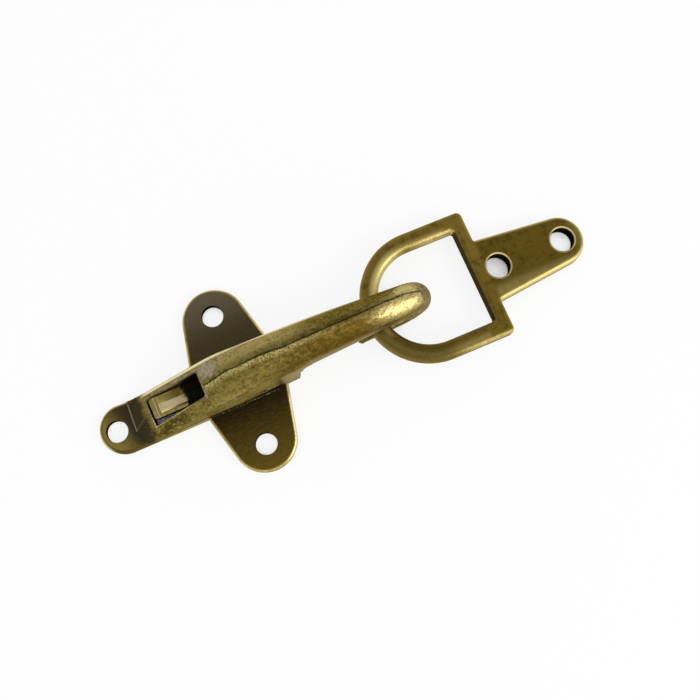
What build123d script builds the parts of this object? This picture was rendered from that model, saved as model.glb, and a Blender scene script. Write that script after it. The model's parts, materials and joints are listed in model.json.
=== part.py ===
from build123d import *
import os
from math import asin, atan2, cos, degrees, hypot, radians, sin, sqrt, tan

# Hook-and-loop clasp: a cast hook with a spring latch, and the loop plate caught in it.
# Millimetres and degrees. The origin is midway between the two ear holes, on the mounting plane.
# +X runs from the tail towards the loop's strap, +Z is up.

# Foot of the hook, the flat plate that is screwed down
ear_hole_span = 28.0
ear_margin = 5.5
ear_end_radius = 6.5
ear_flank = 13.4
tail_hole_reach = 26.05
tail_margin = 3.45
tail_width = 9.9
foot_thickness = 1.8
foot_edge_round = 0.7
screw_hole = 4.4

# Arched body and arm of the hook
body_inset = 0.08
slope_start = 22.3
tail_lap = 0.8
rear_slope = 29.2
slope_crown = 1.6
tail_crown = 0.15
tail_blend = 3.4
crown_run = 10.5
crest_height = 15.3
crest_blend = 0.8
taper_start = 0.0
arm_fall_start = 18.8
arm_fall = 10.5
throat_reach = 12.3
nose_reach = 41.5
nose_thickness = 4.0
nose_width = 6.6
nose_front_width = 5.9
nose_lean = 0.25
return_width = 5.8
return_tip_width = 6.5
return_thickness = 2.6
return_lift = 0.1
side_band = 0.9
crown_blend = 0.15
section_pitch = 2.6
body_sections = 20
arm_corner = 0.6

# Window in the rear slope and the hollow behind it
window_rear = 18.3
window_front = 6.9
window_width = 5.5
window_shift = 0.3
window_taper = 0.6
window_corner = 0.4
roof_drop = 0.4
rim_round = 0.25
throat_round = 2.0
throat_draft = 0.9
throat_bevel = 0.6
return_tip_bevel = 0.5

# Latch lever, its pin and its spring. The roots of the thumb and the gate are shares of the boss's radius.
pivot_reach = 3.6
pivot_height = 5.0
pin_diameter = 1.8
pin_recess = 0.15
pin_running_gap = 0.04
boss_radius = 2.3
thumb_root = (-0.6, 0.25)
gate_root = (-0.85, 0.45)
lever_width = 4.2
lever_side_gap = 0.3
lever_end_gap = 0.45
thumb_height = 5.0
thumb_thickness = 1.4
rib_width = 1.9
rib_shift = 0.5
rib_height = 0.8
rib_setback = 1.6
rib_sink = 0.2
rib_bevel = 0.2
lever_corner = 0.5
gate_tip_thickness = 1.3
gate_rest_gap = 0.25
gate_overlap = 1.9
gate_clearance = 0.6
spring_wire = 0.35
spring_inner_gap = 0.25
spring_seat = 1.2
seat_margin = 0.4
spring_turns = 2
front_leg = 6.5
front_leg_dip = 4.0
rear_leg_rise = 20.0

# Loop plate
loop_width = 27.2
rod_width = 3.7
rail_length = 13.2
bar_width = 3.2
loop_corner = 1.2
opening_corner = 0.5
strap_root_round = 0.4
plate_thickness = 3.1
plate_edge_round = 1.0
opening_edge_round = 1.4
plate_back_round = 0.8
strap_length = 21.37
strap_end_radius = 5.1
strap_flank = 5.7
strap_hole = 5.0
strap_hole_chamfer = 0.2
first_hole_offset = 2.4
strap_hole_margin = 4.5
loop_slack = 6.35
swing_gap = 0.3
slip_play = 0.6

# Heights and places that follow from the sizes above
ear_reach = ear_hole_span / 2 + ear_margin
tail_reach = tail_hole_reach + tail_margin
body_width = tail_width - 2 * body_inset
loop_length = loop_width / 2 + rail_length
rod_corner = (rod_width / 2 - plate_back_round, plate_thickness / 2 - plate_back_round)
rod_radius = hypot(*rod_corner) + plate_back_round
return_top = return_lift + return_thickness
slot_height = rod_width + gate_tip_thickness + slip_play
arm_underside = return_top + slot_height
bend_radius = slot_height / 2
bend_x = nose_reach - nose_thickness - bend_radius
bend_z = return_top + bend_radius
rod_x = nose_reach - nose_thickness - loop_slack - rod_width / 2
rod_z = return_top + swing_gap + rod_radius
gate_tip_x = rod_x - rod_width / 2 - gate_clearance
return_tip_x = gate_tip_x - gate_overlap
roof_z = arm_underside - roof_drop
lever_y = window_shift + window_width / 2 - lever_side_gap - lever_width / 2


def clamp(value):
    return min(1.0, max(0.0, value))


def lerp(start, end, share):
    return start + (end - start) * share


def smooth_min(first, second, blend):
    return (first + second - sqrt((first - second) ** 2 + 4 * blend**2)) / 2


def half_width(x):
    """Half the width of the body and arm, straight at the rear and tapering to the nose."""
    share = clamp((x - taper_start) / (bend_x - taper_start))
    return lerp(body_width, nose_width, share) / 2


def ridge(x):
    """Height of the top line: rear slope, crest, then the arm's gentle fall."""
    rear = foot_thickness + (x + slope_start) * tan(radians(rear_slope))
    fall = crest_height - (x - arm_fall_start) * tan(radians(arm_fall))
    return smooth_min(smooth_min(rear, crest_height, crest_blend), fall, crest_blend)


def round_crown(half, height):
    """Rise of a half-round top, less where too little of the upright side would be left."""
    return smooth_min(half, height - side_band, crown_blend)


def body_crown(x):
    """Rise of the body's top over its side walls: flat at the tail, low at the window, half-round at the crest."""
    share = clamp((x + window_front) / crown_run)
    low = lerp(tail_crown, slope_crown, clamp((x + slope_start) / tail_blend))
    full = round_crown(half_width(x), ridge(x) - arm_underside)
    return lerp(low, full, share * share * (3 - 2 * share))


def tapered_tab(root, reach, end_radius, flank):
    """Flat outline along +X, narrowing from its root to a round end that its flanks run into."""
    centre = reach - end_radius
    tangent_x = centre + end_radius * sin(radians(flank))
    tangent_y = end_radius * cos(radians(flank))
    root_y = tangent_y + (tangent_x - root) * tan(radians(flank))
    sides = Polyline((tangent_x, -tangent_y), (root, -root_y), (root, root_y), (tangent_x, tangent_y))
    end = ThreePointArc((tangent_x, tangent_y), (reach, 0), (tangent_x, -tangent_y))
    return make_face(sides + end)


def arch_section(plane, half, height, crown, corner):
    """Section with a flat underside, upright sides and a rounded top."""
    shoulder = height - crown
    outline = [
        Line((corner - half, 0), (half - corner, 0)),
        CenterArc((half - corner, corner), corner, -90, 90),
        Line((half, corner), (half, shoulder)),
        EllipticalCenterArc((0, shoulder), half, crown, start_angle=0, arc_size=180),
        Line((-half, shoulder), (-half, corner)),
        CenterArc((corner - half, corner), corner, 180, 90),
    ]
    return plane * make_face(outline)


def cross_plane(x, z, outward, lean=0):
    """Plane across the arm at a point of its inner side, with its own Y pointing outward."""
    return Plane(origin=(x, lean, z), x_dir=(0, 1, 0), z_dir=Vector(0, 1, 0).cross(Vector(outward)))


def arm_section(inner, outer, half, lean=0):
    """Section of the arm between a point on its inner side and one on its crown."""
    outward = (outer[0] - inner[0], 0, outer[1] - inner[1])
    height = hypot(outward[0], outward[2])
    crown = round_crown(half, height)
    plane = cross_plane(inner[0], inner[1], outward, lean)
    return arch_section(plane, half, height, crown, arm_corner)


def top_edges(solid, z):
    """Edges that lie at one height."""
    return [edge for edge in solid.edges() if abs(edge.bounding_box().min.Z - z) < 0.01]


# The foot is one plate: the tail and the two ears, with rounded upper edges.
def foot_plate():
    ear = extrude(tapered_tab(0, ear_reach, ear_end_radius, ear_flank), foot_thickness)
    ear_rim = [edge for edge in top_edges(ear, foot_thickness) if edge.center().X > 0.1]
    ear = fillet(ear_rim, foot_edge_round)
    tail = extrude(tapered_tab(0, tail_reach, tail_width / 2, 0), foot_thickness)
    tail_rim = [edge for edge in top_edges(tail, foot_thickness) if edge.center().X > 0.1]
    tail = fillet(tail_rim, foot_edge_round)
    return Rot(Z=90) * ear + Rot(Z=-90) * ear + Rot(Z=180) * tail


# The body is lofted from the tail to the throat through upright sections that share one top line.
def arched_body():
    first = -slope_start - tail_lap
    sections = []
    for step in range(body_sections + 1):
        x = lerp(first, throat_reach, step / body_sections)
        plane = cross_plane(x, 0, (0, 0, 1))
        sections.append(arch_section(plane, half_width(x), ridge(x), body_crown(x), body_inset * 2))
    return loft(sections)


# The arm carries the crown forward, round the nose and back under the loop's rod as the return.
def hook_arm():
    sections = []
    straight_steps = round((bend_x - throat_reach) / section_pitch)
    for step in range(straight_steps):
        x = lerp(throat_reach, bend_x, step / straight_steps)
        sections.append(arm_section((x, arm_underside), (x, ridge(x)), half_width(x)))
    nose_run = nose_reach - bend_x
    for angle in range(90, -91, -30):
        along = cos(radians(angle))
        up = sin(radians(angle))
        rise = ridge(bend_x) - bend_z if angle > 0 else bend_z - return_lift
        inner = (bend_x + bend_radius * along, bend_z + bend_radius * up)
        outer = (bend_x + nose_run * along, bend_z + rise * up)
        turned = 1 - along
        half = lerp(nose_front_width, nose_width if angle > 0 else return_width, turned) / 2
        sections.append(arm_section(inner, outer, half, nose_lean * along))
    bevel_x = return_tip_x + return_tip_bevel
    return_steps = round((bend_x - bevel_x) / section_pitch)
    for step in range(1, return_steps + 1):
        x = lerp(bend_x, bevel_x, step / return_steps)
        half = lerp(return_width, return_tip_width, step / return_steps) / 2
        sections.append(arm_section((x, return_top), (x, return_lift), half))
    top = (return_tip_x, return_top - return_tip_bevel)
    bottom = (return_tip_x, return_lift + return_tip_bevel / 2)
    tip = arm_section(top, bottom, return_tip_width / 2 - return_tip_bevel)
    return loft(sections) + loft([sections[-1], tip], ruled=True)


def throat_fill():
    """Rounded inner corner where the arm leaves the body."""
    sunk = throat_round / 4
    corner = Polyline(
        (throat_reach, arm_underside - throat_round),
        (throat_reach - sunk, arm_underside - throat_round),
        (throat_reach - sunk, arm_underside + sunk),
        (throat_reach + throat_round, arm_underside + sunk),
        (throat_reach + throat_round, arm_underside),
    )
    hollow = RadiusArc(corner @ 1, corner @ 0, -throat_round)
    side = Plane(origin=(0, 0, 0), x_dir=(1, 0, 0), z_dir=(0, -1, 0))
    return extrude(side * make_face(corner + hollow), half_width(throat_reach + throat_round), both=True)


def throat_relief():
    """Wedge that leans the throat's wall back towards the mounting plane, with its two edges bevelled."""
    lean = Polyline(
        (throat_reach - throat_draft, -1),
        (throat_reach, arm_underside - throat_round),
        (throat_reach + 1, arm_underside - throat_round),
        (throat_reach + 1, -1),
        close=True,
    )
    side = Plane(origin=(0, 0, 0), x_dir=(1, 0, 0), z_dir=(0, -1, 0))
    relief = extrude(side * make_face(lean), body_width, both=True)
    edge = sqrt(2) * throat_bevel
    corner = Rot(Z=45) * Box(edge, edge, 2 * (arm_underside - throat_round))
    for y in (half_width(throat_reach), -half_width(throat_reach)):
        relief += Pos(throat_reach - throat_draft / 2, y, 0) * corner
    return relief


def on_window_rim(point):
    """True on the edge where the window breaks through the rear slope."""
    inside_x = -window_rear - 0.1 < point.X < -window_front + 0.1
    inside_y = abs(point.Y - window_shift) < window_width / 2 + 0.1
    return inside_x and inside_y and point.Z > ridge(point.X) - 0.75 * slope_crown


def hook_body():
    solid = foot_plate() + arched_body() + hook_arm() + throat_fill() - throat_relief()
    near_y = window_shift - window_width / 2
    far_y = window_shift + window_width / 2
    window = make_face(
        Polyline(
            (-window_rear, near_y),
            (-window_front, near_y + window_taper),
            (-window_front, far_y),
            (-window_rear, far_y),
            close=True,
        )
    )
    window = fillet(window.vertices(), window_corner)
    solid -= Pos(0, 0, -1) * extrude(window, crest_height + 2)
    channel_length = throat_reach + window_front + 2
    channel = Box(channel_length, window_width, roof_z + 1, align=(Align.MIN, Align.CENTER, Align.MIN))
    solid -= Pos(-window_front - 1, window_shift, -1) * channel
    hole = Cylinder(screw_hole / 2, 4 * foot_thickness)
    solid -= Pos(-tail_hole_reach, 0, 0) * hole
    solid -= Pos(0, ear_hole_span / 2, 0) * hole
    solid -= Pos(0, -ear_hole_span / 2, 0) * hole
    solid -= Pos(pivot_reach, 0, pivot_height) * Rot(X=90) * Cylinder(pin_diameter / 2, 2 * body_width)
    rim = [edge for edge in solid.edges() if on_window_rim(edge.center())]
    return fillet(rim, rim_round)


# The lever is one casting: thumb pad and rib behind the pin, boss on the pin, gate tongue in front.
def latch_lever():
    rear_x = -window_rear + lever_end_gap
    gate_low = return_top + gate_rest_gap
    boss = Pos(pivot_reach, pivot_height) * Circle(boss_radius)
    thumb = make_face(
        Polyline(
            (rear_x, thumb_height - thumb_thickness),
            (pivot_reach, pivot_height + boss_radius * thumb_root[0]),
            (pivot_reach, pivot_height + boss_radius * thumb_root[1]),
            (rear_x, thumb_height),
            close=True,
        )
    )
    gate = make_face(
        Polyline(
            (pivot_reach, pivot_height + boss_radius * gate_root[0]),
            (gate_tip_x, gate_low),
            (gate_tip_x, gate_low + gate_tip_thickness),
            (pivot_reach, pivot_height + boss_radius * gate_root[1]),
            close=True,
        )
    )
    rib = make_face(
        Polyline(
            (rear_x + rib_setback, thumb_height - rib_sink),
            (pivot_reach, thumb_height - rib_sink),
            (pivot_reach, thumb_height + rib_height),
            (rear_x + rib_setback, thumb_height + rib_height),
            close=True,
        )
    )
    side = Plane(origin=(0, lever_y, 0), x_dir=(1, 0, 0), z_dir=(0, -1, 0))
    blade = extrude(side * (boss + thumb + gate), lever_width / 2, both=True)
    corners = blade.edges().filter_by(Axis.Z).group_by(Axis.X)
    blade = fillet(corners[0] + corners[-1], lever_corner)
    grip = extrude(side.offset(rib_shift) * rib, rib_width / 2, both=True)
    grip = chamfer(grip.faces().sort_by(Axis.Z)[-1].edges(), rib_bevel)
    blade += grip
    seat = Box(2 * (boss_radius + seat_margin), 2 * spring_seat, 4 * boss_radius)
    blade -= Pos(pivot_reach, lever_y - lever_width / 2, pivot_height) * seat
    bore = Cylinder(pin_diameter / 2 + pin_running_gap, 2 * lever_width)
    return blade - Pos(pivot_reach, lever_y, pivot_height) * Rot(X=90) * bore


def pivot_pin():
    length = 2 * (half_width(pivot_reach) - pin_recess)
    return Pos(pivot_reach, 0, pivot_height) * Rot(X=90) * Cylinder(pin_diameter / 2, length)


# The torsion spring sits on the pin in a notch beside the lever. Its front leg crosses over the gate and
# its rear leg bears on the roof of the hollow.
def latch_spring():
    coil_radius = pin_diameter / 2 + spring_inner_gap + spring_wire / 2
    coil_start = lever_y - lever_width / 2 + spring_seat - spring_wire
    wall_y = window_shift - window_width / 2
    coil_room = coil_start - wall_y - 1.5 * spring_wire
    turn = spring_turns * 360 + front_leg_dip - rear_leg_rise
    coil = Helix(pitch=coil_room * 360 / turn, height=coil_room, radius=coil_radius)
    coil = Pos(pivot_reach, coil_start, pivot_height) * Rot(X=90) * Rot(Z=90 - front_leg_dip) * coil
    front = Line(coil @ 0 - (coil % 0) * front_leg, coil @ 0)
    rear_leg = (roof_z - spring_wire - (coil @ 1).Z) / (coil % 1).Z
    rear = Line(coil @ 1, coil @ 1 + (coil % 1) * rear_leg)
    path = Wire([front, coil.edge(), rear])
    section = Plane(origin=path @ 0, z_dir=path % 0) * Circle(spring_wire / 2)
    crossing = lever_y - (path @ 0).Y
    foot = Rot(X=-90) * Cylinder(spring_wire / 2, crossing, align=(Align.CENTER, Align.CENTER, Align.MIN))
    foot += Sphere(spring_wire / 2)
    return sweep(section, path=path) + Pos(path @ 0) * foot


# The loop plate is one flat casting, tilted so that its strap end rests on the mounting plane.
def loop_plate():
    nose_radius = loop_width / 2
    opening_radius = nose_radius - rod_width
    centre_x = nose_radius - rod_width / 2
    bar_x = loop_length - rod_width / 2
    strap_x = bar_x + strap_length
    from_centre = (Align.MIN, Align.CENTER)
    outer = Circle(nose_radius) + Rectangle(bar_x - centre_x, loop_width, align=from_centre)
    outer = Pos(centre_x, 0) * outer
    outer += tapered_tab(bar_x - bar_width / 2, strap_x, strap_end_radius, strap_flank)
    on_bar = [v for v in outer.vertices() if abs(v.X - bar_x) < 0.01]
    outer = fillet([v for v in on_bar if abs(v.Y) > nose_radius - 0.01], loop_corner)
    on_bar = [v for v in outer.vertices() if abs(v.X - bar_x) < 0.01]
    outer = fillet([v for v in on_bar if abs(v.Y) < nose_radius - loop_corner - 0.01], strap_root_round)
    opening_end = bar_x - bar_width
    inner = Circle(opening_radius)
    inner += Rectangle(opening_end - centre_x, 2 * opening_radius, align=from_centre)
    inner = Pos(centre_x, 0) * inner
    inner = fillet([v for v in inner.vertices() if abs(v.X - opening_end) < 0.01], opening_corner)
    plate = Pos(0, 0, -plate_thickness / 2) * extrude(outer - inner, plate_thickness)
    upper = plate.faces().sort_by(Axis.Z)[-1]
    plate = fillet(upper.outer_wire().edges(), plate_edge_round)
    upper = plate.faces().sort_by(Axis.Z)[-1]
    plate = fillet(upper.inner_wires()[0].edges(), opening_edge_round)
    lower = plate.faces().sort_by(Axis.Z)[0]
    plate = fillet(lower.outer_wire().edges(), plate_back_round)
    lower = plate.faces().sort_by(Axis.Z)[0]
    plate = fillet(lower.inner_wires()[0].edges(), opening_edge_round)
    hole = Cylinder(strap_hole / 2, 2 * plate_thickness)
    rim_radius = strap_hole / 2 + strap_hole_chamfer
    from_top = (Align.CENTER, Align.CENTER, Align.MAX)
    sink = Cone(strap_hole / 2, rim_radius, strap_hole_chamfer, align=from_top)
    for x in (bar_x + first_hole_offset, strap_x - strap_hole_margin):
        plate -= Pos(x, 0, 0) * hole
        plate -= Pos(x, 0, plate_thickness / 2) * sink
    low_x = strap_x - plate_back_round
    low_z = plate_thickness / 2 - plate_back_round
    tilt = degrees(asin((rod_z - plate_back_round) / hypot(low_x, low_z)) - atan2(low_z, low_x))
    return Pos(rod_x, 0, rod_z) * Rot(Y=tilt) * plate


os.makedirs("parts", exist_ok=True)
export_step(hook_body(), "parts/hook_body.step")
export_step(latch_lever(), "parts/latch_lever.step")
export_step(pivot_pin(), "parts/pivot_pin.step")
export_step(latch_spring(), "parts/latch_spring.step")
export_step(loop_plate(), "parts/loop_plate.step")
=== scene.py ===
import json
import math

import bpy
from bpy.props import FloatProperty, FloatVectorProperty, PointerProperty
from bpy.types import Operator, Panel, PropertyGroup
from mathutils import Matrix, Vector

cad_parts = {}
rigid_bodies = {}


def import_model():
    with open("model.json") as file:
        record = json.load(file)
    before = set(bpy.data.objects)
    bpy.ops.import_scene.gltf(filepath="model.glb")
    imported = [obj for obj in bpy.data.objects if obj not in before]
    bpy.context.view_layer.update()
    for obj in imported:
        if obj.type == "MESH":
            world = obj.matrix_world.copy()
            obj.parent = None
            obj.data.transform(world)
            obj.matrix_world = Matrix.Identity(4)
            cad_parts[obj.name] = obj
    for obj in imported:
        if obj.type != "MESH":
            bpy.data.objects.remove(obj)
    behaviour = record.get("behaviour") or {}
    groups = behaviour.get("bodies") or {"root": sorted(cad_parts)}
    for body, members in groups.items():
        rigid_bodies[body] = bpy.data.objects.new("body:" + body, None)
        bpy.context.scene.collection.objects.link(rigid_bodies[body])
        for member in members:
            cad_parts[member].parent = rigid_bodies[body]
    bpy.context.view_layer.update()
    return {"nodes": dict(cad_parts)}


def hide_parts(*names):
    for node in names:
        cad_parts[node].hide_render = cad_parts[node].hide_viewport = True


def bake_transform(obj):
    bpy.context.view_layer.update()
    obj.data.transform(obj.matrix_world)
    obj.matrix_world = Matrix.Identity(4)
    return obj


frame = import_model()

bl_info = {
    "name": "Hook clasp finishes",
    "version": (1, 0, 0),
    "blender": (4, 5, 0),
    "location": "3D View > Sidebar > Clasp",
    "description": "Antique brass finishes, floor, light and camera for a hook-and-loop clasp",
    "category": "Material",
}

# Places on the clasp in millimetres, in the frame of the model, with slopes and squeezes as shares
FOOT_TOP = 1.8
SCREW_HOLES = ((-26.05, 0.0), (0.0, 14.0), (0.0, -14.0))
SCREW_HOLE_RADIUS = 2.2
SLOPE_START = -22.3
SLOPE_RISE = math.tan(math.radians(29.2))
WINDOW = (-18.3, -6.9, -2.45, 3.05)
WINDOW_TAPER = 0.6 / 11.4
HALF_WIDTH = 4.87
HALF_TAPER = 1.62
EAR_ROOT = 4.98
TAIL_CREASE = ((-22.2, 4.1), (-22.48, -1.4))
SLOPE_CREASE = ((-22.45, -1.4), (-19.0, 0.7))
GROUND_PATCH = (-4.9, 2.4)
NOSE_RUB = (34.0, -1.2)
NOSE_RUB_SQUEEZE = 0.26
UPPER_RUB = (36.6, 1.9)
UPPER_RUB_SQUEEZE = 0.5
STRAP_TILT = math.radians(4.464)
ROD = (29.3, 5.09)
RAIL_RADIUS = 11.75
STRAP_HOLES = (27.35, 41.82)
STRAP_HOLE_RADIUS = 2.5

# The parting line of the casting: distance along the hook, then how far it wanders off the middle
PARTING_LINE = (
    (-6.3, -0.04), (-4.2, 0.03), (-1.7, 0.33), (0.9, 0.13), (3.9, 0.19), (6.8, 0.19), (9.9, -0.12),
    (12.9, -0.02), (15.5, 0.02), (18.8, 0.13), (22.1, 0.24), (26.0, 0.32), (29.4, 0.49), (32.8, 0.65),
    (35.8, 0.65), (37.7, 0.45), (40.0, 0.10),
)
PARTING_SPAN = (-8.0, 42.0)
PARTING_REACH = 1.0

# Position is worked in millimetres, and so are the heights of bumps
MILLIMETRES_PER_METRE = 1000.0
NOISE_ROUGHNESS = 0.55

# Colour of the brass where it is seen at a glancing angle, and shares that darken a colour
EDGE_TINT = (0.85, 0.74, 0.48, 1.0)
UMBER_SHARE = 0.5
FIBRE_SHARE = 0.97

# Floor, softbox and camera in metres, the sensor in millimetres, and shares of white and open sky
FLOOR_REACH = 1.5
FLOOR_DROP = 0.0002
FLOOR_WHITE = 0.85
CLOSED_SKY = (0.12, 0.32)
SKY_REACH = 0.02
SKY_SAMPLES = 16
SOFTBOX_PLACE = (0.36, -0.36, 0.38)
SOFTBOX_SIZE = 0.3
SENSOR_WIDTH = 36.0
CAMERA_CLIP = (0.01, 20.0)


class Value:
    """A number that changes over a surface. Sums on it add Math nodes."""

    def __init__(self, shader, socket):
        self.shader = shader
        self.socket = socket

    def math(self, operation, first, second, clamp=False):
        settings = {"operation": operation, "use_clamp": clamp}
        return self.shader.node("ShaderNodeMath", settings, {0: first, 1: second})

    def __add__(self, other):
        return self.math("ADD", self, other)

    def __radd__(self, other):
        return self.math("ADD", other, self)

    def __sub__(self, other):
        return self.math("SUBTRACT", self, other)

    def __rsub__(self, other):
        return self.math("SUBTRACT", other, self)

    def __mul__(self, other):
        return self.math("MULTIPLY", self, other)

    def __rmul__(self, other):
        return self.math("MULTIPLY", other, self)

    def __truediv__(self, other):
        return self.math("DIVIDE", self, other)

    def __pow__(self, other):
        return self.math("POWER", self, other)

    def __abs__(self):
        return self.math("ABSOLUTE", self, 0.0)

    def clamp(self):
        return self.math("ADD", self, 0.0, True)

    def at_least(self, other):
        return self.math("MAXIMUM", self, other)

    def rise(self, low, high):
        """0 below low and 1 above high, with a smooth step between."""
        settings = {"interpolation_type": "SMOOTHSTEP"}
        values = {"Value": self, "From Min": low, "From Max": high}
        return self.shader.node("ShaderNodeMapRange", settings, values)

    def fall(self, low, high):
        """1 below low and 0 above high, with a smooth step between."""
        return 1.0 - self.rise(low, high)

    def between(self, low, high, soft):
        """1 from low to high, fading over soft on both sides."""
        return self.rise(low - soft, low + soft) * self.fall(high - soft, high + soft)

    def near(self, middle, width):
        """A bump of height 1 at middle that fades to 0 at width on both sides."""
        return abs(self - middle).fall(0.0, width)


class Shader:
    """One node tree, its position in millimetres and its normal."""

    def __init__(self, tree):
        self.tree = tree
        tree.nodes.clear()

    def node(self, kind, settings, values, output=0):
        made = self.tree.nodes.new(kind)
        for name, setting in settings.items():
            if name == "stops":
                self.set_stops(made.color_ramp, setting)
            else:
                setattr(made, name, setting)
        for name, value in values.items():
            if isinstance(value, Value):
                self.tree.links.new(value.socket, made.inputs[name])
            else:
                made.inputs[name].default_value = value
        return Value(self, made.outputs[output]) if len(made.outputs) else made

    def set_stops(self, ramp, stops):
        while len(ramp.elements) > 1:
            ramp.elements.remove(ramp.elements[-1])
        ramp.elements[0].position = stops[0][0]
        ramp.elements[0].color = stops[0][1]
        for place, colour in stops[1:]:
            ramp.elements.new(place).color = colour

    def place(self):
        metres = self.node("ShaderNodeTexCoord", {}, {}, "Object")
        values = {0: metres, "Scale": MILLIMETRES_PER_METRE}
        return self.node("ShaderNodeVectorMath", {"operation": "SCALE"}, values)

    def facing(self):
        return self.node("ShaderNodeTexCoord", {}, {}, "Normal")

    def parts(self, vector):
        return [self.node("ShaderNodeSeparateXYZ", {}, {0: vector}, axis) for axis in ("X", "Y", "Z")]

    def noise(self, place, size, detail):
        values = {"Vector": place, "Scale": 1.0 / size, "Detail": detail, "Roughness": NOISE_ROUGHNESS}
        return self.node("ShaderNodeTexNoise", {}, values, "Fac")

    def stretched(self, place, scale):
        return self.node("ShaderNodeVectorMath", {"operation": "MULTIPLY"}, {0: place, 1: scale})

    def turned(self, place, centre, angle):
        values = {"Vector": place, "Center": centre, "Axis": (0.0, 1.0, 0.0), "Angle": angle}
        return self.node("ShaderNodeVectorRotate", {"rotation_type": "AXIS_ANGLE"}, values)

    def cells(self, place, size):
        values = {"Vector": place, "Scale": 1.0 / size, "Randomness": 1.0}
        return self.node("ShaderNodeTexVoronoi", {"feature": "F1"}, values, "Distance")

    def mix(self, first, second, share):
        settings = {"data_type": "RGBA", "blend_type": "MIX", "clamp_factor": True}
        return self.node("ShaderNodeMix", settings, {0: share, 6: first, 7: second}, 2)

    def curve(self, value, points, span, reach):
        """A height read off a line of points, through a ramp of greys."""
        stops = []
        for along, height in points:
            grey = 0.5 + 0.5 * height / reach
            stops.append(((along - span[0]) / (span[1] - span[0]), (grey, grey, grey, 1.0)))
        share = (value - span[0]) / (span[1] - span[0])
        grey = self.node("ShaderNodeValToRGB", {"stops": stops}, {"Fac": share})
        return (grey - 0.5) * (2.0 * reach)

    def bump(self, height):
        values = {"Height": height, "Strength": 1.0, "Distance": 1.0 / MILLIMETRES_PER_METRE}
        return self.node("ShaderNodeBump", {}, values)

    def metal(self, colour, roughness, normal, bare=1.0):
        """A brass surface. Where bare falls to 0 it is a matt film with no shine."""
        values = {"Base Color": colour, "Roughness": roughness, "Metallic": bare, "Normal": normal}
        values["Specular IOR Level"] = 0.0
        values["Specular Tint"] = EDGE_TINT
        surface = self.node("ShaderNodeBsdfPrincipled", {}, values)
        self.node("ShaderNodeOutputMaterial", {}, {"Surface": surface})


def distance_from(x, y, centre):
    across = (x - centre[0]) * (x - centre[0]) + (y - centre[1]) * (y - centre[1])
    return across ** 0.5


def distance_to_line(x, y, start, end):
    run = (end[0] - start[0], end[1] - start[1])
    length = run[0] ** 2 + run[1] ** 2
    share = (((x - start[0]) * run[0] + (y - start[1]) * run[1]) / length).clamp()
    away_x = x - start[0] - share * run[0]
    away_y = y - start[1] - share * run[1]
    return (away_x * away_x + away_y * away_y) ** 0.5


def opaque(colour):
    return (colour[0], colour[1], colour[2], 1.0)


def darkened(colour, share):
    return opaque([share * part for part in colour])


def finish_of(name):
    material = bpy.data.materials.new(name)
    material.use_nodes = True
    return material, Shader(material.node_tree)


def dress(node, material):
    slots = frame["nodes"][node].data.materials
    slots.clear()
    slots.append(material)


class ClaspFinish(PropertyGroup):
    # Also used for painted highlights on the foot's near edges, the nose, the lever's stripe and step and
    # the loop's far arc
    bright: FloatVectorProperty(
        name="Worn brass", description="Brass rubbed bare on edges", subtype="COLOR",
        size=3, min=0.0, max=1.0, default=(0.68, 0.57, 0.23),
    )
    olive: FloatVectorProperty(
        name="Olive brass", description="Thin film on the rounded faces", subtype="COLOR",
        size=3, min=0.0, max=1.0, default=(0.27, 0.21, 0.05),
    )
    brown: FloatVectorProperty(
        name="Brown brass", description="Warmer film on the loop and in the mottling", subtype="COLOR",
        size=3, min=0.0, max=1.0, default=(0.14, 0.092, 0.012),
    )
    # Also the colour of the painted highlight bands on the loop's rails
    gold: FloatVectorProperty(
        name="Gold brass", description="Half-worn film on the nose and the lever", subtype="COLOR",
        size=3, min=0.0, max=1.0, default=(0.42, 0.33, 0.12),
    )
    # Also used as painted shade on the side walls and beside the parting line
    dark: FloatVectorProperty(
        name="Dark patina", description="Thick film on the sheltered flats", subtype="COLOR",
        size=3, min=0.0, max=1.0, default=(0.04, 0.032, 0.017),
    )
    amber: FloatVectorProperty(
        name="Amber brass", description="Warm film of the loop plate", subtype="COLOR",
        size=3, min=0.0, max=1.0, default=(0.2, 0.137, 0.024),
    )
    # Painted highlight: this pale colour stands in for highlights on the near ear's edges that face +X and
    # along the far upper edge of the body
    painted_highlight: FloatVectorProperty(
        name="Polished brass", description="Sharp edges that the hand rubs most", subtype="COLOR",
        size=3, min=0.0, max=1.0, default=(0.93, 0.82, 0.5),
    )
    ground: FloatVectorProperty(
        name="Ground metal", description="Pinkish grey left where the casting was ground", subtype="COLOR",
        size=3, min=0.0, max=1.0, default=(0.42, 0.355, 0.26),
    )
    rubbed: FloatVectorProperty(
        name="Rubbed rib", description="Pinkish metal on the lever's rib", subtype="COLOR",
        size=3, min=0.0, max=1.0, default=(0.68, 0.55, 0.37),
    )
    # Painted shade: this near-black stands in for shade in the hollow, the holes, the hole walls and on
    # the lever's far part; it is also the dark film of the near ear, the pits and the parting line
    black_film_and_shade: FloatVectorProperty(
        name="Hollow film", description="Nearly black film in the holes and the hollow", subtype="COLOR",
        size=3, min=0.0, max=1.0, default=(0.012, 0.01, 0.006),
    )
    wire: FloatVectorProperty(
        name="Spring wire", description="Drawn steel wire", subtype="COLOR",
        size=3, min=0.0, max=1.0, default=(0.45, 0.44, 0.42),
    )
    parting_step: FloatProperty(
        name="Parting step", description="How far one half of the casting stands proud, in millimetres",
        min=0.0, max=0.5, default=0.16,
    )


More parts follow.
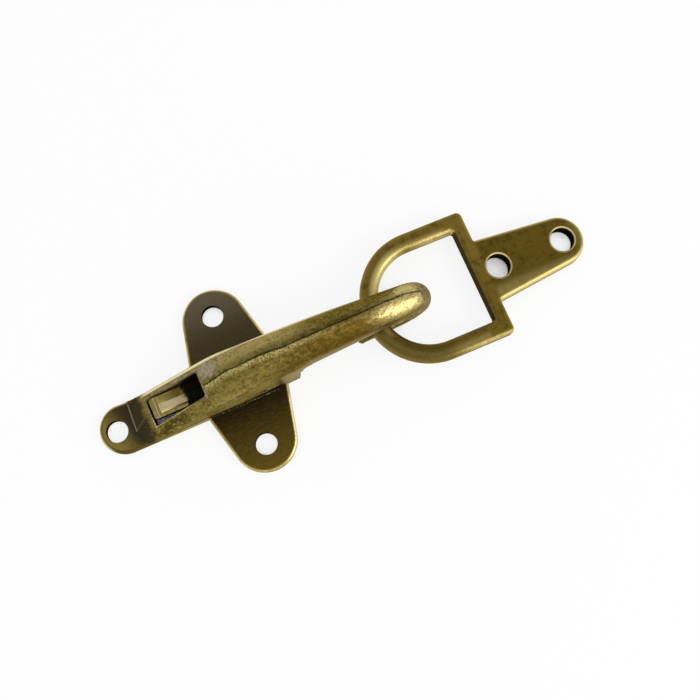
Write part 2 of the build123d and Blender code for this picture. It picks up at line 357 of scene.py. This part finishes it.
class ClaspStage(PropertyGroup):
    target: FloatVectorProperty(
        name="Aim", description="Point that the camera looks at", subtype="XYZ", unit="LENGTH",
        size=3, default=(0.02245, -0.003784, 0.004),
    )
    distance: FloatProperty(name="Distance", description="Camera to aim", unit="LENGTH", default=0.220996)
    tilt: FloatProperty(
        name="Tilt", description="Camera's lean from straight above", subtype="ANGLE",
        default=math.radians(10.63),
    )
    turn: FloatProperty(
        name="Turn", description="Side that the camera leans to", subtype="ANGLE",
        default=math.radians(-114.696),
    )
    roll: FloatProperty(
        name="Roll", description="Camera's turn about its own view", subtype="ANGLE",
        default=math.radians(1.052),
    )
    lens: FloatProperty(name="Lens", description="Focal length in millimetres", default=57.344)
    floor: FloatVectorProperty(
        name="Floor", description="Floor's colour", subtype="COLOR", size=3, min=0.0, max=1.0,
        default=(0.95, 0.95, 0.95),
    )
    horizon: FloatProperty(
        name="Horizon", description="Brightness of the walls round the clasp", default=1.0,
    )
    overhead: FloatProperty(name="Overhead", description="Brightness straight above", default=0.75)
    slant: FloatProperty(name="Slant", description="Lean of the light towards the softbox", default=0.18)
    key: FloatProperty(
        name="Softbox", description="Power of the large softbox", subtype="POWER", default=1.1,
    )


class CLASP_OT_hook(Operator):
    """Finish the cast hook: dark foot, mottled arm, parting line, worn edges with painted highlights, and
    painted shade in the walls, holes and hollow
    """

    bl_idname = "clasp.hook"
    bl_label = "Hook finish"

    def execute(self, context):
        colours = context.scene.clasp_finish
        bright, olive, brown = opaque(colours.bright), opaque(colours.olive), opaque(colours.brown)
        dark, ground, black_film_and_shade = opaque(colours.dark), opaque(colours.ground), opaque(colours.black_film_and_shade)
        gold, painted_highlight = opaque(colours.gold), opaque(colours.painted_highlight)
        material, s = finish_of("hook_antique_brass")
        p = s.place()
        x, y, z = s.parts(p)
        nx, ny, nz = s.parts(s.facing())
        lengthwise = s.stretched(p, (0.5, 1.0, 1.0))
        patches = s.noise(lengthwise, 2.6, 3.0)
        mottle = s.noise(lengthwise, 0.6, 3.0)
        grain = s.noise(p, 0.3, 3.0)

        # Film over the rounded body and arm, deeper towards the nose
        on_top = nz.rise(0.2, 0.5) * z.rise(2.4, 3.0)
        half = HALF_WIDTH - x.rise(-6.0, 40.0) * HALF_TAPER
        across = y / half
        age = x.rise(-10.0, 30.0) * 0.85 + across.fall(-0.9, -0.1) * 0.35
        age = age + (patches - 0.5) * 1.6 + (mottle - 0.5) * 1.8
        colour = s.mix(olive, brown, age.clamp())
        colour = s.mix(colour, dark, (mottle * 0.5 + grain * 0.5).rise(0.5, 0.62) * 0.5)
        colour = s.mix(colour, gold, grain.rise(0.5, 0.64) * 0.34)
        flank = across.fall(-0.4, -0.1) * x.between(9.0, 29.0, 3.0) * on_top
        umber = darkened(colours.brown, UMBER_SHARE)
        colour = s.mix(colour, brown, flank * (0.6 + 0.3 * x.rise(18.0, 26.0)))
        colour = s.mix(colour, umber, flank * (mottle + grain).rise(0.82, 1.12) * 0.75)
        low_slope = across.fall(-0.7, -0.4) * x.between(-21.0, -11.0, 2.0) * on_top
        colour = s.mix(colour, umber, low_slope * (patches + mottle).rise(0.72, 1.0) * 0.9)
        lit = across.between(0.35, 0.9, 0.12) * x.between(-6.0, 14.0, 4.0) * on_top
        colour = s.mix(colour, gold, lit * (mottle + grain).rise(0.72, 1.02) * 0.95)
        tail_end = (x + (patches - 0.5) * 3.0).fall(-20.2, -18.8)
        colour = s.mix(colour, dark, tail_end * 0.95)
        shoulder = across.between(-1.0, -0.84, 0.06) * abs(x + 0.5).fall(6.0, 9.0) * z.rise(3.4, 4.6)
        colour = s.mix(colour, gold, shoulder * (mottle + grain * 0.5).rise(0.6, 0.9) * 0.7)
        # Painted highlight: a thin pale line along the far upper edge of the body and arm
        rubbed = across.between(0.86, 0.97, 0.03) * z.rise(2.4, 3.2) * x.fall(4.0, 30.0)
        rear = x.fall(-8.0, 10.0) * on_top
        pale = rear * (1.0 - tail_end) * across.rise(0.15, 0.5) * (patches + grain * 0.6).rise(0.7, 1.0)
        colour = s.mix(colour, ground, pale * 0.45)

        # Parting line with its proud, ragged half
        seam = y - s.curve(x, PARTING_LINE, PARTING_SPAN, PARTING_REACH)
        ragged = seam + (s.noise(p, 0.8, 3.0) - 0.5) * 0.45
        along = x.between(-6.4, 39.4, 0.5) * on_top
        line = ragged.near(0.1, 0.26) * along
        # Painted shadow: a dark band on the +Y half next to the step of the proud half
        valley_shadow = ragged.rise(0.0, 0.1) * ragged.fall(0.2, 1.4) * along * x.fall(22.0, 38.0)
        lip = ragged.fall(-0.1, 0.0) * ragged.rise(-1.5, -0.3) * along
        flecks = lip * (grain * 0.7 + mottle * 0.3).rise(0.42, 0.54) * x.fall(4.0, 24.0)
        valley_shadow = valley_shadow * (0.3 + 0.35 * x.rise(0.0, 12.0)) * (0.4 + 1.2 * mottle)
        colour = s.mix(colour, dark, valley_shadow.clamp())
        colour = s.mix(colour, bright, flecks * 0.85)

        # Foot: dark flats, lighter towards the ends, with worn round edges and painted highlights on the
        # near ear's edges that face +X
        foot = z.fall(FOOT_TOP + 0.02, FOOT_TOP + 0.2)
        flat = nz.rise(0.96, 0.998) * foot
        dusty = (mottle - 0.5) * 0.8
        far_ear = s.mix(dark, ground, (0.03 + y.rise(8.0, 19.0) * 0.22 + dusty * 0.12).clamp())
        near_ear = s.mix(black_film_and_shade, brown, ((-6.0 - y) / 13.0 + dusty).clamp())
        tail = s.mix(olive, dark, ((x + 27.4) * 0.25 + y * 0.08 + dusty).clamp())
        film = s.mix(near_ear, far_ear, y.rise(-0.5, 0.5))
        film = s.mix(film, tail, x.fall(-16.0, -15.0))
        film = s.mix(film, ground, grain.rise(0.6, 0.72) * 0.16)
        colour = s.mix(colour, film, flat)
        under_body = abs(y).fall(4.0, 4.5) * x.rise(-24.0, -23.0)
        rounded = foot * nz.between(0.1, 0.985, 0.05) * (1.0 - under_body)
        edge = rounded * nz.fall(0.82, 0.95)
        colour = s.mix(colour, brown, rounded * 0.6)
        # Painted highlight: the near ear's edges that face +X are brighter and get the pale highlight
        # colour
        sunward = nx.rise(0.2, 0.6) * y.fall(-8.0, -6.0)
        under_tail = x.between(-28.0, -15.0, 1.0) * y.fall(-2.0, 0.0)
        edge_wear_and_highlight = 1.6 * (patches - 0.5) + 0.1 + 1.1 * mottle + 0.7 * sunward - 1.0 * under_tail
        colour = s.mix(colour, bright, edge * edge_wear_and_highlight.clamp())
        colour = s.mix(colour, painted_highlight, edge * sunward * (0.2 + 0.8 * mottle))
        root = abs(y).near(EAR_ROOT, 0.25) * abs(x + 0.5).fall(6.5, 7.5) * foot
        colour = s.mix(colour, ground, root * grain.rise(0.45, 0.58) * 0.6)
        crease = distance_to_line(x, y, *TAIL_CREASE).fall(0.08, 0.2)
        crease = crease + distance_to_line(x, y, *SLOPE_CREASE).fall(0.05, 0.3) * 0.3
        colour = s.mix(colour, ground, crease.clamp() * (0.12 + 0.6 * grain))

        # Side walls: painted shade that darkens them towards the foot, matt olive over the near ear,
        # near-black painted shade at its root, ground at the throat
        wall = nz.fall(0.2, 0.45) * z.rise(FOOT_TOP, FOOT_TOP + 0.2)
        matt = nz.fall(0.35, 0.65) * z.rise(2.6, 3.4) * abs(x + 0.5).fall(6.5, 8.5) * y.fall(-1.0, 0.0)
        # Painted shade: the side walls are darkened, most towards the foot
        shaded = wall * x.fall(8.0, 13.0) * (0.35 + 0.45 * z.fall(2.6, 4.5))
        colour = s.mix(colour, dark, shaded * (1.0 - 0.9 * matt))
        colour = s.mix(colour, umber, matt * (patches + mottle).rise(0.9, 1.1) * 0.5)
        colour = s.mix(colour, ground, wall * x.rise(12.0, 14.0) * 0.35)
        # Painted shade: near-black low on the walls where they meet the ears
        sheltered = wall * z.fall(2.4, 3.6) * abs(x).fall(6.5, 8.0)
        colour = s.mix(colour, black_film_and_shade, sheltered * 0.9)
        throat = wall * x.between(7.6, 13.0, 0.3) * z.fall(9.0, 10.5)
        colour = s.mix(colour, ground, throat * (0.2 + 0.6 * mottle))

        # Window: ragged ground rim, one bright edge and a hollow painted near-black as shade
        near_edge = WINDOW[2] + (x - WINDOW[0]) * WINDOW_TAPER
        slope = FOOT_TOP + (x - SLOPE_START) * SLOPE_RISE
        in_x = x.between(WINDOW[0] - 0.35, WINDOW[1] + 0.35, 0.05)
        in_y = (y - near_edge).rise(-0.35, -0.3) * y.fall(WINDOW[3] + 0.3, WINDOW[3] + 0.35)
        ragged_rim = (mottle - 0.5) * 2.2
        far_rim = in_x * (y - WINDOW[3] + ragged_rim).between(-0.1, 0.5, 0.1) * x.rise(-15.5, -13.0)
        front_rim = (x - WINDOW[1] + ragged_rim).between(-0.1, 0.35, 0.1) * y.between(-2.6, 3.6, 0.2)
        colour = s.mix(colour, ground, (far_rim + front_rim).clamp() * on_top * (0.3 + 0.7 * grain))
        bright_rim = in_x * (y - near_edge).between(-0.24, -0.02, 0.05) * x.fall(-12.0, -9.0)
        bright_rim = bright_rim + (x - WINDOW[0]).between(-0.24, -0.02, 0.05) * in_y * y.fall(0.8, 1.8)
        colour = s.mix(colour, bright, bright_rim.clamp() * on_top)
        # Painted shade: near-black in the hollow under the window and in the channel inside the body, less
        # on the far wall
        depth = slope - z
        hollow = in_x * in_y * depth.rise(0.3, 0.8)
        far_wall = ny.fall(-0.8, -0.5) * depth.fall(1.5, 5.0) * x.fall(-11.5, -10.0)
        in_body = y.between(WINDOW[2] - 0.1, WINDOW[3] + 0.1, 0.05)
        channel = x.between(WINDOW[1] - 0.2, 13.5, 0.1) * in_body * z.fall(8.0, 8.2)
        painted_shade = (hollow * (1.0 - 0.85 * far_wall) + channel).clamp()
        colour = s.mix(colour, black_film_and_shade, painted_shade)
        patch = distance_from(x, y, GROUND_PATCH) + (mottle - 0.5) * 4.0 + (grain - 0.5) * 2.0
        colour = s.mix(colour, ground, patch.fall(0.8, 2.2) * on_top * 0.88)

        # Nose rubbed bright and partly a painted highlight, specks, a painted highlight along the upper
        # edge, pits, the dark parting line and painted shade in the holes
        speckle = (mottle - 0.5) * 2.0 + (grain - 0.5) * 2.4
        rub_place = (NOSE_RUB[0] * NOSE_RUB_SQUEEZE, NOSE_RUB[1])
        rub = distance_from(x * NOSE_RUB_SQUEEZE, y, rub_place) + speckle
        nose = rub.fall(0.4, 1.5) * on_top
        half_worn = rub.fall(0.6, 3.4) * on_top * x.rise(24.0, 33.0)
        colour = s.mix(colour, gold, half_worn)
        upper_place = (UPPER_RUB[0] * UPPER_RUB_SQUEEZE, UPPER_RUB[1])
        upper_rub = distance_from(x * UPPER_RUB_SQUEEZE, y, upper_place) + speckle * 0.7
        colour = s.mix(colour, bright, upper_rub.fall(0.5, 1.9) * on_top * 0.8)
        # The nose is worn bare, and this bright patch is partly a painted highlight
        colour = s.mix(colour, bright, nose)
        colour = s.mix(colour, ground, x.rise(37.0, 39.0) * on_top * grain.rise(0.45, 0.6) * 0.7)
        speck = s.noise(p, 0.5, 2.0) + (patches - 0.5) * 0.3
        colour = s.mix(colour, umber, speck.rise(0.52, 0.66) * on_top * (0.5 - 0.35 * nose))
        colour = s.mix(colour, gold, speck.fall(0.32, 0.44) * on_top * 0.2 * x.fall(8.0, 24.0))
        # Painted highlight line along the far upper edge
        colour = s.mix(colour, painted_highlight, rubbed * (0.8 + 0.8 * mottle).clamp())
        pits = s.cells(p, 2.6).fall(0.03, 0.08) * on_top
        colour = s.mix(colour, black_film_and_shade, (pits * 0.7 + line * 0.85).clamp())
        # Painted shade: near-black on the walls of the screw holes
        bores = sum(
            distance_from(x, y, hole).fall(SCREW_HOLE_RADIUS + 0.02, SCREW_HOLE_RADIUS + 0.1)
            for hole in SCREW_HOLES
        )
        bores = bores.clamp() * nz.fall(0.3, 0.6)
        colour = s.mix(colour, black_film_and_shade, bores)

        proud = ragged.fall(-0.1, 0.1) * along
        height = proud * colours.parting_step + grain * 0.06 + mottle * 0.09 - pits * 0.06
        height = height + lip * grain * 0.12 - line * 0.06
        roughness = 0.46 + 0.3 * (mottle - 0.5) - 0.1 * (nose + edge).clamp()
        s.metal(colour, roughness, s.bump(height), 1.0 - (painted_shade + bores + matt * 0.8).clamp())
        dress("hook_body", material)
        return {"FINISHED"}


class CLASP_OT_lever(Operator):
    """Finish the latch lever: ground pad, brass band, the bevelled thumb rib, painted highlights and
    painted shade
    """

    bl_idname = "clasp.lever"
    bl_label = "Lever finish"

    def execute(self, context):
        colours = context.scene.clasp_finish
        bright, brown, gold = opaque(colours.bright), opaque(colours.brown), opaque(colours.gold)
        ground, olive = opaque(colours.ground), opaque(colours.olive)
        rubbed, black_film_and_shade = opaque(colours.rubbed), opaque(colours.black_film_and_shade)
        material, s = finish_of("lever_ground_brass")
        p = s.place()
        x, y, z = s.parts(p)
        nz = s.parts(s.facing())[2]
        top_face = nz.rise(0.6, 0.9)
        mottle = s.noise(p, 1.1, 4.0)
        grain = s.noise(p, 0.3, 3.0)
        brushed = s.noise(s.stretched(p, (0.25, 3.0, 1.0)), 0.6, 2.0)
        colour = s.mix(gold, olive, mottle.rise(0.3, 0.7))
        pad = x.fall(-16.5, -16.1) * top_face
        colour = s.mix(colour, brown, pad * 0.4)
        colour = s.mix(colour, ground, pad * mottle.rise(0.45, 0.62) * 0.7)
        # Painted highlight: a bright stripe on the top face beside the rib
        stripe_highlight = y.near(1.1, 0.35) * x.between(-16.0, -11.0, 0.4) * top_face
        colour = s.mix(colour, bright, stripe_highlight * 0.35)
        beside_rib = y.rise(0.2, 0.5) * x.rise(-15.8, -11.8) * top_face
        colour = s.mix(colour, brown, beside_rib * (0.5 + 0.7 * brushed).clamp())
        # Painted highlight: a bright line along the pad's step
        step = x.near(-16.9, 0.16) * top_face
        colour = s.mix(colour, bright, step * 0.7)
        rib = z.rise(5.15, 5.4) * x.fall(-9.0, -4.0)
        colour = s.mix(colour, rubbed, rib * (0.6 + 0.6 * brushed).clamp())
        streaks = brushed.rise(0.48, 0.62) * 0.4 + x.rise(-15.0, -11.0) * 0.35
        colour = s.mix(colour, brown, rib * streaks)
        bevel = rib * nz.between(0.3, 0.95, 0.1)
        colour = s.mix(colour, bright, bevel)
        # Painted shade: near-black on the lever's far part under the roof and on its side faces
        inside = x.fall(9.0, 11.0)
        deep = (x + y * 0.1 + (mottle - 0.5) * 1.5).rise(-11.1, -10.5) * inside
        side = nz.fall(0.3, 0.6) * z.fall(5.0, 5.2) * inside
        gate = 1.0 - inside
        colour = s.mix(colour, brown, gate * (0.3 + 0.8 * mottle).clamp())
        painted_shade = (deep + side).clamp()
        colour = s.mix(colour, black_film_and_shade, painted_shade)
        roughness = 0.34 + 0.2 * mottle
        s.metal(colour, roughness, s.bump(grain * 0.02 + brushed * 0.02 * rib), 1.0 - painted_shade)
        dress("latch_lever", material)
        return {"FINISHED"}


class CLASP_OT_pin_and_spring(Operator):
    """Finish the pivot pin in dull brass and the torsion spring in drawn wire"""

    bl_idname = "clasp.pin_and_spring"
    bl_label = "Pin and spring finish"

    def execute(self, context):
        colours = context.scene.clasp_finish
        material, s = finish_of("pin_dull_brass")
        p = s.place()
        mottle = s.noise(p, 0.8, 3.0)
        turned = s.noise(s.stretched(p, (1.0, 0.2, 1.0)), 0.3, 2.0)
        colour = s.mix(opaque(colours.olive), opaque(colours.bright), mottle.rise(0.4, 0.7))
        ends = abs(s.parts(p)[1]).rise(3.6, 4.2)
        colour = s.mix(colour, opaque(colours.dark), ends * (0.6 + 0.5 * mottle))
        s.metal(colour, 0.3 + 0.2 * mottle, s.bump(turned * 0.015))
        dress("pivot_pin", material)
        material, s = finish_of("spring_drawn_wire")
        p = s.place()
        drawn = s.noise(p, 0.25, 3.0)
        colour = s.mix(opaque(colours.wire), opaque(colours.dark), drawn.rise(0.5, 0.8) * 0.6)
        s.metal(colour, 0.25 + 0.2 * drawn, s.bump(drawn * 0.01))
        wire = bpy.data.objects.new("latch_spring_wire", frame["nodes"]["latch_spring"].data.copy())
        wire.data.materials.clear()
        wire.data.materials.append(material)
        context.scene.collection.objects.link(wire)
        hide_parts("latch_spring")
        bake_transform(wire)
        return {"FINISHED"}


class CLASP_OT_loop(Operator):
    """Finish the loop plate: amber rails with painted highlight and shade bands, brown strap, worn edges
    with painted highlights, and painted shade on the hole walls
    """

    bl_idname = "clasp.loop"
    bl_label = "Loop finish"

    def execute(self, context):
        colours = context.scene.clasp_finish
        bright, brown, gold = opaque(colours.bright), opaque(colours.brown), opaque(colours.gold)
        black_film_and_shade = opaque(colours.black_film_and_shade)
        material, s = finish_of("loop_antique_brass")
        p = s.turned(s.place(), (ROD[0], 0.0, ROD[1]), -STRAP_TILT)
        x, y = s.parts(p)[:2]
        x = x - ROD[0]
        nx, ny, nz = s.parts(s.turned(s.facing(), (0.0, 0.0, 0.0), -STRAP_TILT))
        patches = s.noise(p, 5.0, 3.0)
        mottle = s.noise(p, 1.2, 4.0)
        grain = s.noise(p, 0.3, 3.0)
        strap = x.rise(24.4, 25.4)
        deep = strap * 0.6 + (patches - 0.5) * 1.4 + (mottle - 0.5) * 1.2
        deep = deep + 0.5 - y * 0.03 - x.fall(0.0, 6.0) * 0.3
        colour = s.mix(opaque(colours.amber), brown, deep.clamp())
        umber = darkened(colours.brown, UMBER_SHARE)
        colour = s.mix(colour, umber, (strap * 0.35 + mottle.rise(0.5, 0.66) * 0.5).clamp())
        before_rails = (RAIL_RADIUS - x).at_least(0.0)
        off_middle = (before_rails * before_rails + y * y) ** 0.5 - RAIL_RADIUS
        on_rail = off_middle.rise(-2.4, -1.9) * x.fall(19.0, 21.0) * nz.rise(0.3, 0.6)
        near_side = y.fall(-6.0, -2.0)
        # Painted highlight and painted shade: a bright band and a darker band along each rail make it look
        # round
        rail_highlight = off_middle.near(-0.9, 1.1) * (1.0 - near_side) + off_middle.near(0.6, 1.1) * near_side
        hollow = off_middle.near(0.4, 0.9) * (0.5 - 0.5 * near_side)
        hollow = hollow + off_middle.fall(-1.3, -0.4) * near_side
        colour = s.mix(colour, umber, hollow * on_rail * (0.3 + 0.5 * mottle))
        # Painted shade: the near arc of the rails is darkened and its bright band dimmed
        low_arc_shade = near_side * x.fall(9.0, 15.0)
        rail_highlight = rail_highlight * (1.0 - 0.6 * low_arc_shade)
        colour = s.mix(colour, umber, low_arc_shade * on_rail * 0.6)
        # Painted highlight: a bright band on the inner side of the far arc
        far_arc_highlight = off_middle.near(-0.9, 1.4) * (1.0 - near_side) * x.fall(5.0, 11.0)
        colour = s.mix(colour, bright, far_arc_highlight * on_rail * (0.5 + 0.6 * mottle).clamp())
        colour = s.mix(colour, gold, rail_highlight * on_rail * (0.15 + 0.6 * mottle))
        colour = s.mix(colour, gold, grain.rise(0.56, 0.72) * 0.2)
        # Lighter gold towards the strap's near edge and its end
        near_edge_and_end = strap * (y.fall(-5.1, -2.7) + x.rise(43.0, 47.0)).clamp()
        colour = s.mix(colour, gold, near_edge_and_end * (0.15 + 0.6 * mottle))
        # Edge wear, with painted highlights on the edges that face the near side and on the rails' inner
        # edges
        edge = nz.rise(0.05, 0.25) * nz.fall(0.72, 1.0)
        inward = nx.rise(0.0, 0.4) * ny.fall(0.0, 0.4) * x.fall(16.0, 19.0)
        outward = ny.fall(-0.5, -0.1) * x.rise(11.0, 17.0)
        worn = edge * (0.08 + 0.45 * strap + 0.9 * inward + 0.6 * outward) * (0.4 + 1.1 * mottle)
        colour = s.mix(colour, bright, worn.clamp())
        wall = nz.fall(0.2, 0.5)
        away = [distance_from(x, y, (along, 0.0)) - STRAP_HOLE_RADIUS for along in STRAP_HOLES]
        holes = sum(past.fall(0.02, 0.08) for past in away)
        rims = sum(past.between(0.04, 0.3, 0.04) for past in away)
        colour = s.mix(colour, bright, rims.clamp() * nz.rise(0.5, 0.65) * (0.3 + 0.8 * mottle).clamp())
        # Painted shade: near-black on the walls of the strap holes and on the inner wall of the bar
        inner_wall = x.between(19.0, 22.3, 0.2) * nx.fall(-0.75, -0.45)
        painted_shade = (holes * wall + inner_wall * 0.8).clamp()
        colour = s.mix(colour, black_film_and_shade, painted_shade)
        roughness = 0.4 + 0.2 * (mottle - 0.5) - 0.08 * edge
        s.metal(colour, roughness, s.bump(grain * 0.035 + mottle * 0.04), 1.0 - painted_shade)
        dress("loop_plate", material)
        return {"FINISHED"}


class CLASP_OT_stage(Operator):
    """Set the floor, the soft light and the camera"""

    bl_idname = "clasp.stage"
    bl_label = "Floor, light and camera"

    def execute(self, context):
        stage = context.scene.clasp_stage
        scene = context.scene
        scene.view_settings.view_transform = "Standard"

        mesh = bpy.data.meshes.new("floor")
        corners = [(FLOOR_REACH * x, FLOOR_REACH * y, 0) for x, y in ((-1, -1), (1, -1), (1, 1), (-1, 1))]
        mesh.from_pydata(corners, [], [(0, 1, 2, 3)])
        floor = bpy.data.objects.new("floor", mesh)
        floor.location = (0.0, 0.0, -FLOOR_DROP)
        scene.collection.objects.link(floor)
        material, s = finish_of("floor_paper")
        fibre = s.noise(s.place(), 0.6, 3.0)
        paper = s.mix(opaque(stage.floor), darkened(stage.floor, FIBRE_SHARE), fibre)
        white = s.node("ShaderNodeEmission", {}, {"Color": (1.0, 1.0, 1.0, 1.0), "Strength": 1.0})
        seen = s.node("ShaderNodeLightPath", {}, {}, "Is Camera Ray")
        seen = seen.at_least(s.node("ShaderNodeLightPath", {}, {}, "Is Glossy Ray"))
        seen = seen.at_least(s.node("ShaderNodeLightPath", {}, {}, "Is Transmission Ray"))
        # The added white gives way where the clasp closes the floor in, so that it keeps that shadow
        settings, reach = {"samples": SKY_SAMPLES}, {"Distance": SKY_REACH}
        open_sky = s.node("ShaderNodeAmbientOcclusion", settings, reach, "AO")
        share = seen * open_sky.rise(*CLOSED_SKY) * FLOOR_WHITE
        matt = s.node("ShaderNodeBsdfDiffuse", {}, {"Color": paper})
        surface = s.node("ShaderNodeMixShader", {}, {0: share, 1: matt, 2: white})
        s.node("ShaderNodeOutputMaterial", {}, {"Surface": surface})
        mesh.materials.append(material)

        world = bpy.data.worlds.new("studio")
        world.use_nodes = True
        s = Shader(world.node_tree)
        ahead, aside, up = s.parts(s.node("ShaderNodeTexCoord", {}, {}, "Generated"))
        walls = stage.horizon - (stage.horizon - stage.overhead) * up.rise(0.25, 0.95)
        level = walls * (1.0 + stage.slant * (ahead - aside))
        light = s.node("ShaderNodeBackground", {}, {"Color": (1.0, 1.0, 1.0, 1.0), "Strength": level})
        s.node("ShaderNodeOutputWorld", {}, {"Surface": light})
        scene.world = world

        softbox = bpy.data.lights.new("softbox", "AREA")
        softbox.shape = "SQUARE"
        softbox.size = SOFTBOX_SIZE
        softbox.energy = stage.key
        lamp = bpy.data.objects.new("softbox", softbox)
        lamp.location = Vector(SOFTBOX_PLACE)
        lamp.rotation_euler = (Vector(stage.target) - lamp.location).to_track_quat("-Z", "Y").to_euler()
        scene.collection.objects.link(lamp)

        lens = bpy.data.cameras.new("camera")
        lens.lens = stage.lens
        lens.sensor_width = SENSOR_WIDTH
        lens.clip_start, lens.clip_end = CAMERA_CLIP
        camera = bpy.data.objects.new("camera", lens)
        lean = Vector((math.cos(stage.turn), math.sin(stage.turn), 0.0))
        back = lean * math.sin(stage.tilt) + Vector((0.0, 0.0, math.cos(stage.tilt)))
        right = (-back).cross(-lean).normalized()
        above = right.cross(-back)
        side = right * math.cos(stage.roll) + above * math.sin(stage.roll)
        top = above * math.cos(stage.roll) - right * math.sin(stage.roll)
        turn = Matrix((side, top, back)).transposed().to_4x4()
        camera.matrix_world = Matrix.Translation(Vector(stage.target) + back * stage.distance) @ turn
        scene.collection.objects.link(camera)
        scene.camera = camera
        return {"FINISHED"}


class CLASP_PT_panel(Panel):
    """Lists the steps of the clasp's looks"""

    bl_idname = "CLASP_PT_panel"
    bl_label = "Hook clasp"
    bl_space_type = "VIEW_3D"
    bl_region_type = "UI"
    bl_category = "Clasp"

    def draw(self, context):
        layout = self.layout
        for step in STEPS:
            layout.operator(step.bl_idname)
        for settings in (context.scene.clasp_finish, context.scene.clasp_stage):
            box = layout.box()
            for name in settings.__annotations__:
                box.prop(settings, name)


STEPS = (CLASP_OT_hook, CLASP_OT_lever, CLASP_OT_pin_and_spring, CLASP_OT_loop, CLASP_OT_stage)
CLASSES = (ClaspFinish, ClaspStage, *STEPS, CLASP_PT_panel)


def register():
    for cls in CLASSES:
        bpy.utils.register_class(cls)
    bpy.types.Scene.clasp_finish = PointerProperty(type=ClaspFinish)
    bpy.types.Scene.clasp_stage = PointerProperty(type=ClaspStage)


def unregister():
    del bpy.types.Scene.clasp_stage
    del bpy.types.Scene.clasp_finish
    for cls in reversed(CLASSES):
        bpy.utils.unregister_class(cls)


def main():
    register()
    for thing in list(bpy.data.objects):
        if thing.name in ("Cube", "Light", "Camera"):
            bpy.data.objects.remove(thing)
    bpy.ops.clasp.hook()
    bpy.ops.clasp.lever()
    bpy.ops.clasp.pin_and_spring()
    bpy.ops.clasp.loop()
    bpy.ops.clasp.stage()
    bpy.context.view_layer.update()


if __name__ == "__main__":
    main()
